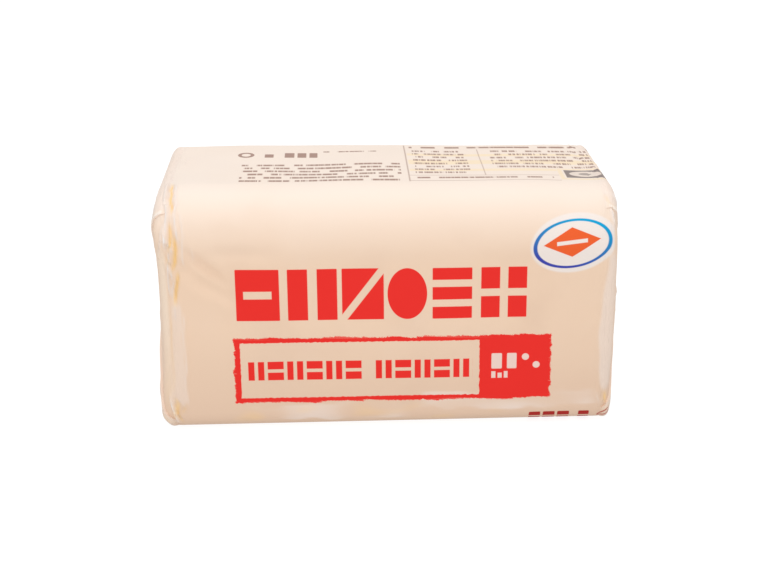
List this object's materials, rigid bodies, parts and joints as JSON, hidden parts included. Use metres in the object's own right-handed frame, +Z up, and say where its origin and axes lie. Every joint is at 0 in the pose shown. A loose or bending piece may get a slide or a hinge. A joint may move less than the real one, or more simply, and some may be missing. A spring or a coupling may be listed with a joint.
{
  "type": "wrapped butter block",
  "caption": "Soft brick of butter in a printed cream wrapper, folded flat over both ends and lapped underneath.",
  "frame": {"origin": "centre of the bounding box at the resting face", "axes": "+X along the block, +Y from the front face towards the back face, +Z up"},
  "size_m": [0.112, 0.055, 0.058],
  "materials": {
    "wrapper": "semi-gloss, soft, printed"
  },
  "bodies": {
    "root": {"wrapped_block": "wrapper"}
  },
  "joints": []
}
